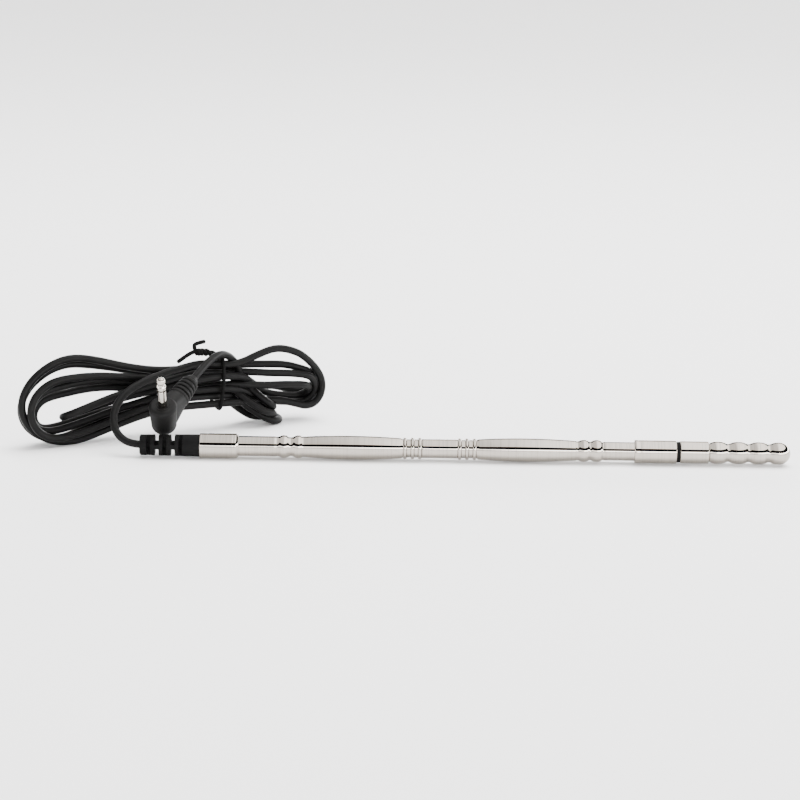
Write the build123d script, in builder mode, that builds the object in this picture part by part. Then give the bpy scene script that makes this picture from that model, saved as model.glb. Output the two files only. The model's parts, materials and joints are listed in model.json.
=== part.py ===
"""Two-contact hand-held probe wand with a captive lead and a right-angle jack plug.

The wand lies along X with its beaded tip towards +X and stands on Z = 0.
The lead leaves the boot at the -X end, is wound in a tied hank behind the wand
and ends in the plug, which stands beside the boot. All sizes are in millimetres.
"""
from build123d import *
import math
import os

os.makedirs("parts", exist_ok=True)

# ---------------------------------------------------------------- driving dimensions
wand_length = 178.8           # boot and turned metal together
axis_height = 3.4             # the wand's centre line above the surface it lies on
fit_gap = 0.02                # radial gap of parts pressed or soldered together

boot_length = 16.5
boot_rear_radius = 2.85
boot_front_radius = 3.05
boot_spigot_radius = 2.55
boot_spigot_length = 4.4
boot_slot_width = 1.0
boot_slot_pitch = 4.4         # from one pair of slots to the next pair turned the same way
boot_web = 1.2                # rubber left beside the cord in each slot

rear_ferrule_length = 10.6
rear_ferrule_radius = 3.4
front_ferrule_length = 11.0
front_ferrule_radius = 3.2
spigot_radius = 2.3           # grip body's turned-down ends, inside the ferrules
spigot_length = 4.0
wire_bore_radius = 1.6

neck_radius = 2.7             # plain necks of the grip body
swell_radius = 3.3
bead_radius = 3.15
ring_radius = 3.04
groove_radius = 2.54

insulator_width = 1.0
insulator_radius = 2.86
insulator_shank_radius = 2.0
insulator_shank_length = 4.4
stud_radius = 1.0
stud_length = 13.0
nut_across_flats = 3.6
nut_thickness = 1.4
washer_thickness = 0.4

tip_collar_length = 7.8
tip_collar_radius = 3.09
tip_bead_radius = 3.1
tip_neck_radius = 2.5
tip_bead_pitch = 5.6
tip_bead_count = 4

cord_diameter = 2.15
cord_radius = cord_diameter / 2
wire_radius = 0.4
cord_clearance = 0.05         # cord to the rubber or plastic that grips it

hank_yaw = 28.0               # degrees from the wand's direction
hank_waist = Vector(-69.8, 35.0, 0.0)
hank_thickness = 10.0

tie_radius = 0.45
tie_knot_radius = 0.95

plug_face = Vector(-83.2, 1.2, 14.4)   # centre of the face that the jack stands on
plug_tilt = 58.0              # the jack's angle above the surface, leaning towards -Y
plug_turn = 64.0              # the relief's angle about the jack, from the wand's direction
plug_top_radius = 3.9
plug_bottom_radius = 3.5
plug_height = 9.4
relief_height = 4.4           # the relief's centre line below the plug's face
relief_reach = 16.6           # from the jack's centre line to the relief's end
rib_count = 5
rib_pitch = 1.45
rib_width = 0.95
first_rib = 7.8               # reach of the first rib
jack_radius = 1.25
jack_neck_radius = 1.05       # undercut of the jack just above the plug's face
jack_neck_height = 0.12
sleeve_length = 5.8
jack_length = 10.2

# ---------------------------------------------------------------- places along the wand
rear_end = -wand_length / 2
front_end = wand_length / 2
boot_front = rear_end + boot_length
grip_rear = boot_front + rear_ferrule_length
tip_rear = front_end - 30.4
insulator_rear = tip_rear - insulator_width
grip_front = insulator_rear - front_ferrule_length
wand_section = Plane(origin=(0, 0, axis_height), x_dir=(1, 0, 0), z_dir=(0, -1, 0))
wand_axis = Axis((0, 0, axis_height), (1, 0, 0))


def wand_cross_section(x):
    """The plane across the wand at x, facing its tip."""
    return Plane(origin=(x, 0, axis_height), x_dir=(0, 1, 0), z_dir=(1, 0, 0))


def draw_outline(steps):
    """Draw lines and arcs through the steps: (x, r) is a line, (x, r, x, r) an arc by its middle."""
    here = steps[0]
    for step in steps[1:]:
        if len(step) == 2:
            Line(here, step)
        else:
            ThreePointArc(here, step[:2], step[2:])
        here = step[-2:]


def turn_outline(steps):
    """Revolve the closed outline of (x, r) steps about the wand's centre line."""
    with BuildSketch(wand_section) as outline:
        with BuildLine():
            draw_outline(steps + [steps[0]])
        make_face()
    revolve(outline.sketch, axis=wand_axis)


def bead(centre, width, root, crown):
    """A half-round ring: up from the root radius to the crown and down again."""
    return [(centre - width / 2, root), (centre, crown, centre + width / 2, root)]


def ring_group(centre):
    """Three fine rings side by side, with grooves between them."""
    steps = []
    for number in (-1, 0, 1):
        steps += bead(centre + number * 2.04, 1.1, groove_radius, ring_radius)
    return steps


def tube(x_from, x_to, outer, inner):
    """A plain tube on the wand's centre line."""
    with BuildSketch(wand_cross_section(x_from)) as section:
        Circle(outer)
        if inner > 0:
            Circle(inner, mode=Mode.SUBTRACT)
    extrude(section.sketch, amount=x_to - x_from)


def finish(builder, label):
    """Name a finished piece and write it."""
    builder.part.label = label
    export_step(builder.part, f"parts/{label}.step")


# ---------------------------------------------------------------- strain relief boot
with BuildPart() as strain_relief_boot:
    turn_outline([
        (rear_end, cord_radius + cord_clearance),
        (rear_end, boot_rear_radius - 0.25),
        (rear_end + 0.25, boot_rear_radius),
        (boot_front, boot_front_radius),
        (boot_front, boot_spigot_radius),
        (boot_front + boot_spigot_length, boot_spigot_radius),
        (boot_front + boot_spigot_length, cord_radius + cord_clearance),
    ])
    slot_depth = 4.0
    slot_offset = boot_web / 2 + slot_depth / 2
    first_side_slot = rear_end + 2.5
    for number in range(3):
        x = first_side_slot + number * boot_slot_pitch
        with Locations((x, slot_offset, axis_height), (x, -slot_offset, axis_height)):
            Box(boot_slot_width, slot_depth, 8, mode=Mode.SUBTRACT)
    for number in range(2):
        x = first_side_slot + (number + 0.5) * boot_slot_pitch
        above = axis_height + slot_offset
        below = axis_height - slot_offset
        with Locations((x, 0, above), (x, 0, below)):
            Box(boot_slot_width, 8, slot_depth, mode=Mode.SUBTRACT)
finish(strain_relief_boot, "strain_relief_boot")

# ---------------------------------------------------------------- rear ferrule
tag_thickness = 0.5
grip_spigot_end = grip_rear - spigot_length
boot_socket_end = boot_front + boot_spigot_length + tag_thickness + fit_gap * 2
with BuildPart() as rear_ferrule:
    turn_outline([
        (boot_front, boot_spigot_radius + fit_gap),
        (boot_front, rear_ferrule_radius - 0.1),
        (boot_front + 0.1, rear_ferrule_radius),
        (grip_rear - 0.6, rear_ferrule_radius),
        (grip_rear, rear_ferrule_radius - 0.4),
        (grip_rear, spigot_radius + fit_gap),
        (boot_socket_end, spigot_radius + fit_gap),
        (boot_socket_end, boot_spigot_radius + fit_gap),
    ])
finish(rear_ferrule, "rear_ferrule")

# ---------------------------------------------------------------- grip body
first_beads = grip_rear + 12.5
first_swell = grip_rear + 18.0
first_rings = grip_rear + 47.8
second_rings = first_rings + 15.0
second_swell = second_rings + 3.2
second_beads = grip_front - 14.4
with BuildPart() as grip_body:
    turn_outline(
        [
            (grip_spigot_end, wire_bore_radius),
            (grip_spigot_end, spigot_radius),
            (grip_rear, spigot_radius),
            (grip_rear, neck_radius + 0.08),
            (first_beads - 2.4, neck_radius + 0.08),
            (first_beads - 1.7, neck_radius - 0.02, first_beads - 1.2, neck_radius + 0.12),
        ]
        + bead(first_beads, 2.4, neck_radius + 0.12, bead_radius)[1:]
        + [(first_beads + 1.95, neck_radius - 0.12, first_beads + 2.75, neck_radius + 0.12)]
        + bead(first_beads + 3.95, 2.4, neck_radius + 0.12, bead_radius)[1:]
        + [
            (first_swell, neck_radius + 0.12),
            (first_swell + 13.4, swell_radius, first_swell + 26.7, neck_radius + 0.12),
            (first_rings - 2.6, groove_radius),
        ]
        + ring_group(first_rings)
        + [
            (first_rings + 2.7, neck_radius - 0.06),
            (second_rings - 2.7, neck_radius - 0.06),
            (second_rings - 2.6, groove_radius),
        ]
        + ring_group(second_rings)
        + [
            (second_rings + 2.6, groove_radius),
            (second_swell, neck_radius + 0.12),
            (second_swell + 13.4, swell_radius - 0.04, second_swell + 26.7, neck_radius + 0.06),
            (second_beads - 1.7, neck_radius - 0.08, second_beads - 1.2, neck_radius + 0.12),
        ]
        + bead(second_beads, 2.4, neck_radius + 0.12, bead_radius - 0.06)[1:]
        + [(second_beads + 1.75, neck_radius - 0.14, second_beads + 2.3, neck_radius + 0.1)]
        + bead(second_beads + 3.55, 2.5, neck_radius + 0.1, bead_radius - 0.06)[1:]
        + [
            (second_beads + 5.1, neck_radius - 0.15, second_beads + 5.6, neck_radius - 0.12),
            (grip_front, neck_radius - 0.12),
            (grip_front, spigot_radius),
            (grip_front + spigot_length, spigot_radius),
            (grip_front + spigot_length, wire_bore_radius),
        ]
    )
finish(grip_body, "grip_body")

# ---------------------------------------------------------------- front ferrule
shank_rear = insulator_rear - insulator_shank_length
with BuildPart() as front_ferrule:
    turn_outline([
        (grip_front - 0.6, neck_radius - 0.12 + fit_gap),
        (grip_front - 0.6, front_ferrule_radius - 0.35),
        (grip_front - 0.4, front_ferrule_radius, grip_front, front_ferrule_radius + 0.04),
        (grip_front + 0.4, front_ferrule_radius),
        (insulator_rear - 0.15, front_ferrule_radius),
        (insulator_rear, front_ferrule_radius - 0.15),
        (insulator_rear, insulator_shank_radius + fit_gap),
        (shank_rear, insulator_shank_radius + fit_gap),
        (shank_rear, spigot_radius + fit_gap),
        (grip_front, spigot_radius + fit_gap),
        (grip_front, neck_radius - 0.12 + fit_gap),
    ])
finish(front_ferrule, "front_ferrule")

# ---------------------------------------------------------------- insulating bush and its fastening
stud_front = tip_rear + 5.2
stud_rear = stud_front - stud_length
washer_rear = shank_rear - washer_thickness
nut_rear = washer_rear - nut_thickness
with BuildPart() as insulating_bush:
    turn_outline([
        (shank_rear, stud_radius + fit_gap),
        (shank_rear, insulator_shank_radius),
        (insulator_rear, insulator_shank_radius),
        (insulator_rear, insulator_radius),
        (tip_rear, insulator_radius),
        (tip_rear, stud_radius + fit_gap),
    ])
finish(insulating_bush, "insulating_bush")

with BuildPart() as insulating_washer:
    tube(washer_rear, shank_rear, spigot_radius - 0.05, stud_radius + fit_gap)
finish(insulating_washer, "insulating_washer")

with BuildPart() as stud_nut:
    with BuildSketch(wand_cross_section(nut_rear)):
        RegularPolygon(nut_across_flats / 2, 6, major_radius=False)
        Circle(stud_radius + fit_gap, mode=Mode.SUBTRACT)
    extrude(amount=nut_thickness)
finish(stud_nut, "stud_nut")

with BuildPart() as electrode_stud:
    tube(stud_rear, stud_front, stud_radius, 0)
    chamfer(electrode_stud.edges().filter_by(GeomType.CIRCLE), 0.2)
finish(electrode_stud, "electrode_stud")

# ---------------------------------------------------------------- front electrode
last_bead = front_end - tip_bead_radius
neck_half = 0.55
shoulder = tip_neck_radius + 0.14
tip_groove = tip_rear + tip_collar_length + 0.25
crowns = [last_bead - number * tip_bead_pitch for number in range(tip_bead_count - 1, -1, -1)]
bead_steps = [(crowns[0] - 1.5, 2.98, crowns[0], tip_bead_radius)]
for here, ahead in zip(crowns[:-1], crowns[1:]):
    neck = (here + ahead) / 2
    bead_steps += [
        (here + 1.35, 2.97, neck - neck_half, shoulder),
        (neck, tip_neck_radius, neck + neck_half, shoulder),
        (ahead - 1.35, 2.97, ahead, tip_bead_radius),
    ]
dome_middle = tip_bead_radius * math.sin(math.radians(45))
with BuildPart() as front_electrode:
    turn_outline(
        [
            (tip_rear, stud_radius + fit_gap),
            (tip_rear, tip_collar_radius - 0.15),
            (tip_rear + 0.15, tip_collar_radius),
            (tip_groove - 0.35, tip_collar_radius),
            (tip_groove, tip_neck_radius + 0.1),
            (tip_groove + 0.3, tip_neck_radius + 0.22),
        ]
        + bead_steps
        + [
            (last_bead + dome_middle, dome_middle, front_end, 0),
            (stud_front + 0.4, 0),
            (stud_front + 0.4, stud_radius + fit_gap),
        ]
    )
finish(front_electrode, "front_electrode")

# ---------------------------------------------------------------- cord's end and wiring in the wand
jacket_end = boot_front + 1.9
core_end = boot_front + 3.4
sleeve_end = boot_front + boot_spigot_length - 0.2
cord_in_boot_end = rear_end + 2.0
with BuildPart() as cord_in_boot:
    tube(cord_in_boot_end, jacket_end, cord_radius, 0)
finish(cord_in_boot, "cord_in_boot")

with BuildPart() as cord_end_sleeve:
    tube(jacket_end, core_end, cord_radius, 0)
    for side in (-1, 1):
        with BuildSketch(wand_cross_section(jacket_end)):
            with Locations((0, side * 0.5)):
                Circle(wire_radius + fit_gap)
        extrude(amount=core_end - jacket_end, mode=Mode.SUBTRACT)
finish(cord_end_sleeve, "cord_end_sleeve")

with BuildPart() as tip_wire:
    with BuildSketch(wand_cross_section(jacket_end)):
        with Locations((0, 0.5)):
            Circle(wire_radius)
    extrude(amount=stud_rear - jacket_end - 0.6)
finish(tip_wire, "tip_wire")

with BuildPart() as tip_solder_cup:
    with BuildSketch(wand_cross_section(stud_rear - 1.6)):
        Circle(wire_bore_radius - 0.2)
    extrude(amount=1.6)
    add(tip_wire.part, mode=Mode.SUBTRACT)
    chamfer(tip_solder_cup.edges().sort_by(Axis.X)[-1], 0.3)
finish(tip_solder_cup, "tip_solder_cup")

with BuildPart() as ground_tag:
    tube(boot_front + boot_spigot_length + fit_gap, boot_socket_end - fit_gap, 2.3, 1.2)
finish(ground_tag, "ground_tag")

return_wire_end = boot_front + boot_spigot_length + fit_gap
with BuildPart() as return_wire:
    with BuildSketch(wand_cross_section(jacket_end)):
        with Locations((0, -0.5)):
            Circle(wire_radius)
    extrude(amount=return_wire_end + 1.0 - jacket_end)
finish(return_wire, "return_wire")

with BuildPart() as return_solder_joint:
    with BuildSketch(wand_cross_section(return_wire_end + 0.55)):
        with Locations((0, -0.95)):
            Circle(0.62)
    extrude(amount=0.9)
    add(return_wire.part, mode=Mode.SUBTRACT)
    add(grip_body.part, mode=Mode.SUBTRACT)
finish(return_solder_joint, "return_solder_joint")

# ---------------------------------------------------------------- cord hank
yaw = math.radians(hank_yaw)
hank_along = Vector(math.cos(yaw), math.sin(yaw), 0)
hank_plane = Plane(origin=hank_waist, x_dir=hank_along, z_dir=(math.sin(yaw), -math.cos(yaw), 0))
hank_corners = [
    (-16, 17.8, 20), (-42, 25.4, 14), (-60.5, 20.4, 8), (-62.6, 8.6, 7), (-56, 0.25, 7),
    (-43, 0.25, 14), (-20, 7.4, 20), (0, 6.4, 10), (14, 2.0, 4), (29.6, 4.6, 5),
    (34.2, 9.6, 3), (25, 22.4, 5), (15, 23.2, 8), (2, 19.4, 10),
]
with BuildPart() as cord_hank:
    with BuildSketch(hank_plane):
        with BuildLine():
            FilletPolyline(
                [corner[:2] for corner in hank_corners],
                radius=[corner[2] for corner in hank_corners],
                close=True,
            )
        make_face()
    extrude(amount=hank_thickness / 2, both=True)
finish(cord_hank, "cord_hank")


# ---------------------------------------------------------------- cord tubes
def corner_radii(route):
    """For each corner, 0.45 of the shorter run over the tangent of half the turn."""
    points = [Vector(*point) for point in route]
    radii = []
    for before, here, after in zip(points, points[1:], points[2:]):
        turn = (here - before).get_angle(after - here)
        shorter = min((here - before).length, (after - here).length)
        radii.append(0.45 * shorter / math.tan(math.radians(turn / 2)))
    return radii


def cord_tube(route, radius):
    """Sweep a round section along straight runs joined by tangent arcs."""
    radii = corner_radii(route)
    with BuildLine() as path:
        FilletPolyline(route, radius=radii)
    wire = path.wires()[0]
    with BuildSketch(Plane(origin=wire @ 0, z_dir=wire % 0)) as section:
        Circle(radius)
    sweep(section.sketch, path=wire)
    print("radii", [round(value, 1) for value in radii], "length", round(wire.length, 1))
    return wire.length


lead_route = [
    (cord_in_boot_end, 0, axis_height), (-91.7, 0, axis_height), (-95.4, 1.5, 5.2),
    (-97.3, 3.9, 8.5), (-96.9, 7.4, 12.4), (-94.1, 11.5, 15.8), (-89.6, 16.0, 17.7),
    (-84.8, 20.4, 18.9), (-80.2, 24.4, 19.6), (-75.6, 28.6, 20.2), (-71.2, 32.0, 19.8),
    (-67.6, 35.0, 16.4),
]
with BuildPart() as lead_cord:
    lead_length = cord_tube(lead_route, cord_radius)
    section_area = math.pi * cord_radius ** 2
    print("lead volume over section times length", lead_cord.part.volume / (section_area * lead_length))
    add(cord_hank.part, mode=Mode.SUBTRACT)
finish(lead_cord, "lead_cord")

# ---------------------------------------------------------------- twist tie
tie_knot = (-76.0, 28.6, 23.4)
tie_paths = [
    [(-70.2, 34.8, 19.8), (-73.0, 33.2, 22.4), tie_knot],
    [tie_knot, (-78.6, 27.6, 22.8), (-80.9, 26.6, 21.2)],
    [tie_knot, (-76.9, 29.0, 25.8), (-74.0, 29.4, 26.4)],
]
band_plane = Plane(origin=hank_waist + Vector(0, 0, 13.1), x_dir=(0, 0, 1), z_dir=hank_along)
with BuildPart() as twist_tie:
    with BuildSketch(band_plane):
        RectangleRounded(14.2, hank_thickness + 1.6, 2.5)
        RectangleRounded(12.6, hank_thickness, 1.0, mode=Mode.SUBTRACT)
    extrude(amount=tie_radius, both=True)
    for route in tie_paths:
        with BuildLine() as path:
            FilletPolyline(route, radius=1.0)
        wire = path.wires()[0]
        with BuildSketch(Plane(origin=wire @ 0, z_dir=wire % 0)):
            Circle(tie_radius)
        sweep(path=wire)
    with Locations(tie_knot):
        Sphere(tie_knot_radius)
    add(cord_hank.part, mode=Mode.SUBTRACT)
finish(twist_tie, "twist_tie")

# ---------------------------------------------------------------- plug
tilt = math.radians(plug_tilt)
turn = math.radians(plug_turn)
jack_direction = Vector(0, -math.cos(tilt), math.sin(tilt))
plug_back = Vector(0, math.sin(tilt), math.cos(tilt))
relief_direction = Vector(1, 0, 0) * math.cos(turn) + plug_back * math.sin(turn)
plug_across = jack_direction.cross(relief_direction)
jack_axis = Axis(plug_face, jack_direction)
jack_section = Plane(origin=plug_face, x_dir=relief_direction, z_dir=relief_direction.cross(jack_direction))
relief_origin = plug_face - jack_direction * relief_height
relief_axis = Axis(relief_origin, relief_direction)
relief_section = Plane(origin=relief_origin, x_dir=relief_direction, z_dir=jack_section.z_dir)


def relief_plane(reach):
    """The plane across the relief at that reach from the jack's centre line."""
    return Plane(origin=relief_origin + relief_direction * reach, x_dir=plug_across, z_dir=relief_direction)


def plug_plane(height):
    """The plane across the jack at that height above the plug's face."""
    return Plane(origin=plug_face + jack_direction * height, x_dir=relief_direction, z_dir=jack_direction)


def turn_on_jack(steps):
    """Revolve the closed outline of (radius, height) steps about the jack."""
    with BuildSketch(jack_section) as outline:
        with BuildLine():
            draw_outline(steps + [steps[0]])
        make_face()
    revolve(outline.sketch, axis=jack_axis)


def turn_on_relief(steps, mode=Mode.ADD):
    """Revolve the closed outline of (reach, radius) steps about the relief."""
    with BuildSketch(relief_section) as outline:
        with BuildLine():
            draw_outline(steps + [steps[0]])
        make_face()
    revolve(outline.sketch, axis=relief_axis, mode=mode)


rod_radius = 0.4
insulator_bore_radius = 0.75
insulator_ring_radius = 0.98
sleeve_root_radius = 0.95
sleeve_flange_radius = 1.9
tip_base = sleeve_length + 0.5
with BuildPart() as plug_sleeve_contact:
    turn_on_jack([
        (insulator_bore_radius, -4.2), (sleeve_root_radius, -4.2), (sleeve_root_radius, -1.8),
        (sleeve_flange_radius, -1.8), (sleeve_flange_radius, -1.0), (jack_neck_radius, -1.0),
        (jack_neck_radius, jack_neck_height), (jack_radius, jack_neck_height),
        (jack_radius, sleeve_length), (insulator_bore_radius, sleeve_length),
    ])
finish(plug_sleeve_contact, "plug_sleeve_contact")

with BuildPart() as plug_insulator:
    turn_on_jack([
        (rod_radius + fit_gap, -4.5), (insulator_bore_radius - fit_gap, -4.5),
        (insulator_bore_radius - fit_gap, sleeve_length), (insulator_ring_radius, sleeve_length),
        (insulator_ring_radius, tip_base), (rod_radius + fit_gap, tip_base),
    ])
finish(plug_insulator, "plug_insulator")

ball_radius = 1.2
tip_waist_radius = 0.85
ball_height = jack_length - ball_radius
waist_top = ball_height - math.sqrt(ball_radius ** 2 - tip_waist_radius ** 2)
ball_diagonal = ball_radius * math.sin(math.radians(45))
with BuildPart() as plug_tip_contact:
    turn_on_jack([
        (0, -5.3), (rod_radius, -5.3), (rod_radius, tip_base), (jack_radius - 0.05, tip_base),
        (jack_radius, tip_base + 0.05), (jack_radius, tip_base + 0.9),
        (tip_waist_radius, tip_base + 1.35), (tip_waist_radius, waist_top),
        (ball_radius, ball_height, ball_diagonal, ball_height + ball_diagonal),
        (0.5 * ball_radius, ball_height + ball_radius * math.sin(math.radians(60)), 0, jack_length),
    ])
finish(plug_tip_contact, "plug_tip_contact")

cord_grip_reach = 12.0
plug_wire_radius = 0.3


def plug_wire(reach_from, rise):
    """A straight insulated wire along the relief, at that rise from its centre line."""
    with BuildSketch(relief_plane(reach_from)) as section:
        with Locations((0, rise)):
            Circle(plug_wire_radius)
    extrude(section.sketch, amount=cord_grip_reach - reach_from)


with BuildPart() as plug_tip_wire:
    plug_wire(rod_radius + fit_gap, -0.5)
finish(plug_tip_wire, "plug_tip_wire")

with BuildPart() as plug_sleeve_wire:
    plug_wire(sleeve_root_radius + fit_gap, 0.5)
finish(plug_sleeve_wire, "plug_sleeve_wire")

tail_start = relief_origin + relief_direction * cord_grip_reach
tail_exit = relief_origin + relief_direction * (relief_reach + 1.4)
tail_route = [
    tuple(tail_start), tuple(tail_exit), (-71.7, 25.0, 22.4), (-69.0, 30.6, 22.9),
    (-66.4, 34.8, 20.8), (-64.2, 37.6, 16.8), (-62.8, 39.6, 13.0),
]
with BuildPart() as plug_tail_cord:
    cord_tube(tail_route, cord_radius)
    add(cord_hank.part, mode=Mode.SUBTRACT)
finish(plug_tail_cord, "plug_tail_cord")

with BuildPart() as plug_body:
    turn_on_jack([
        (0, -plug_height), (plug_bottom_radius - 2.0, -plug_height),
        (plug_bottom_radius - 0.6, -plug_height + 0.6, plug_bottom_radius, -plug_height + 2.0),
        (plug_top_radius, -1.2), (plug_top_radius - 0.5, 0), (0, 0),
    ])
    with BuildSketch(relief_plane(0)):
        RectangleRounded(6.4, 8.6, 2.6)
    with BuildSketch(relief_plane(first_rib - 0.2)):
        Circle(3.1)
    loft()
    turn_on_relief([(first_rib - 0.4, 0), (first_rib - 0.4, 2.6), (relief_reach, 1.6), (relief_reach, 0)])
    for number in range(rib_count):
        reach = first_rib + number * rib_pitch
        radius = 3.2 - number * 0.15
        turn_on_relief([
            (reach, 0), (reach, radius - 0.15), (reach + 0.15, radius), (reach + rib_width - 0.15, radius),
            (reach + rib_width, radius - 0.15), (reach + rib_width, 0),
        ])
    for piece in (plug_sleeve_contact, plug_insulator, plug_tip_contact, plug_tip_wire, plug_sleeve_wire):
        add(piece.part, mode=Mode.SUBTRACT)
    passage_radius = cord_radius + cord_clearance
    turn_on_relief([
        (cord_grip_reach, 0), (cord_grip_reach, passage_radius),
        (relief_reach + 0.1, passage_radius), (relief_reach + 0.1, 0),
    ], mode=Mode.SUBTRACT)
finish(plug_body, "plug_body")
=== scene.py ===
# %% [markdown]
# # A turned probe wand with its tied lead and jack plug
# The wand is a slim stick of turned, nickel-plated metal. An insulating ring near one end parts it
# into two contacts, so it is really the end of a two-wire circuit: a soft cord leaves the rubber boot
# at the other end, is wound in a tied hank, and finishes in a right-angle jack plug.
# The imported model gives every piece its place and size. This lesson builds the surfaces that are seen.

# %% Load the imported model
import json
import math

import bmesh
import bpy
import numpy as np
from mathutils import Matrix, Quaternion, Vector


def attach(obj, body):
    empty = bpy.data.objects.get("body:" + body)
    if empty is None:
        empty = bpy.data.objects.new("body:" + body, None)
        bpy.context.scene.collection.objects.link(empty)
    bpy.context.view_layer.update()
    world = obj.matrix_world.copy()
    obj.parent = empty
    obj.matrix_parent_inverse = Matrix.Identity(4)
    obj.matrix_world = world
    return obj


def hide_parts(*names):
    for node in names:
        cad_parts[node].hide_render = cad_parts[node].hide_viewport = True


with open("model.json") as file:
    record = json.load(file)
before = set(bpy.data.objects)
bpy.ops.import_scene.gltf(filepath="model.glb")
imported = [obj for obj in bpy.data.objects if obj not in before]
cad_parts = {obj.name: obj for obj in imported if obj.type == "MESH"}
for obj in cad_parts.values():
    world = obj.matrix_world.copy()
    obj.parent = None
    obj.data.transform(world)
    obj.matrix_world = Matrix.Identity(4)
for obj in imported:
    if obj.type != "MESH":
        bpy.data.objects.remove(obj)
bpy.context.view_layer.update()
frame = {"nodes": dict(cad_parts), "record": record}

MM = 0.001

# %% [markdown]
# ## The camera
# A long lens from a little above the table, almost square to the wand, makes the small object look
# calm and undistorted. The camera is turned by less than a degree about its own line of sight, so the
# wand falls gently towards its tip.

# %% Camera
LENS = 120.0
SENSOR = 36.0
CAMERA_LOOK = math.radians(13.0)
CAMERA_ROLL = math.radians(0.8)
CAMERA_REACH = 0.730
camera_aim = np.array([-0.0181, 0.0, 0.0170])
line_of_sight = np.array([0.0, math.cos(CAMERA_LOOK), -math.sin(CAMERA_LOOK)])

camera_data = bpy.data.cameras.new("camera")
camera_data.lens = LENS
camera_data.sensor_width = SENSOR
camera_data.clip_start = 0.01
camera = bpy.data.objects.new("camera", camera_data)
bpy.context.scene.collection.objects.link(camera)
camera.location = camera_aim - line_of_sight * CAMERA_REACH
camera.rotation_mode = "QUATERNION"
level = Vector(line_of_sight).to_track_quat("-Z", "Y")
camera.rotation_quaternion = Quaternion(Vector(line_of_sight), -CAMERA_ROLL) @ level
bpy.context.scene.camera = camera
print("camera at", [round(v, 3) for v in camera.location])

# %% [markdown]
# ## The hank of cord
# The cord is one soft lead about 1.2 m long. Its free part was gathered into long loops, tied round
# the middle with a twist tie and laid behind the wand. Where nothing ties the loops they fan out, each
# a little different from the next. A real hank is one continuous line, so it is drawn as one line: it
# runs through the waist, out round a loop on the right, back through the waist and out round a loop on
# the left, until the loops are used up. Each loop below is a row of a few plain sizes.

# %% Where the hank lies and how wide its loops are
CORD_DIAMETER = 2.15
hank_waist = np.array([-69.8, 35.0, 0.0])
hank_yaw = math.radians(28.0)
hank_along = np.array([math.cos(hank_yaw), math.sin(hank_yaw), 0.0])
hank_across = np.array([-math.sin(hank_yaw), math.cos(hank_yaw), 0.0])

# Each loop: reach, half height, middle height, height of its end, depth, lean in degrees,
# the shares of its reach between which it opens, and the length of its round end.
left_loops = [
    (-60.4, 13.2, 12.5, 11.4, -0.8, 0, 0.25, 0.87, 20.0),
    (-59.8, 11.6, 12.4, 10.8, 1.6, 5, 0.25, 0.90, 16.5),
    (-58.4, 8.2, 11.8, 10.4, -2.4, 0, 0.22, 0.85, 9.5),
    (-57.4, 6.2, 11.9, 9.4, 0.4, 8, 0.18, 0.85, 6.5),
    (-55.0, 4.9, 11.9, 8.8, 3.2, 10, 0.15, 0.85, 4.9),
    (-48.4, 4.4, 9.6, 7.9, -0.8, 72, 0.10, 1.0, 4.4),
]
right_loops = [
    (30.6, 7.6, 15.6, 10.6, -1.2, 0, 0.02, 0.55, 8.0),
    (31.4, 5.2, 13.1, 9.8, 1.6, 40, 0.05, 0.6, 5.2),
    (16.0, 4.2, 6.2, 5.6, 0.2, 80, 0.0, 0.8, 4.2),
    (30.0, 4.8, 10.2, 9.0, -1.4, 25, 0.05, 0.6, 4.8),
    (17.2, 4.2, 4.6, 3.6, -0.2, 82, 0.0, 0.8, 4.2),
    (28.4, 4.6, 9.0, 7.8, 0.2, 50, 0.05, 0.6, 4.6),
    (18.4, 4.2, 3.2, 1.6, 0.4, 86, 0.0, 0.8, 4.2),
]
# Where the strands pass through the tie: depth and height, for the upper and the lower strands.
upper_places = [
    (-1.6, 18.6), (0.3, 17.6), (2.15, 16.8), (0.2, 15.3), (2.15, 13.4), (0.2, 13.0), (2.15, 11.0),
]
lower_places = [
    (-2.15, 8.6), (0, 9.2), (-2.15, 10.9), (-2.15, 12.9), (0, 11.2), (-2.15, 14.9), (-2.15, 16.9),
]
print("loops", len(left_loops) + len(right_loops))

# %% [markdown]
# ## One loop as a formula
# Each loop is two runs and a round end, because a cord that is folded by hand never makes a corner: its
# end is half an ellipse. The points are spread evenly along the way, but more than twice as close round
# the end. Near the waist the loop closes to the strand's own place in the tie.

# %% One loop
def ease(x):
    """A smooth step: 0 at 0, 1 at 1, level at both ends, which is 3x squared less 2x cubed."""
    x = np.clip(x, 0, 1)
    return x * x * (3 - 2 * x)


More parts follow.
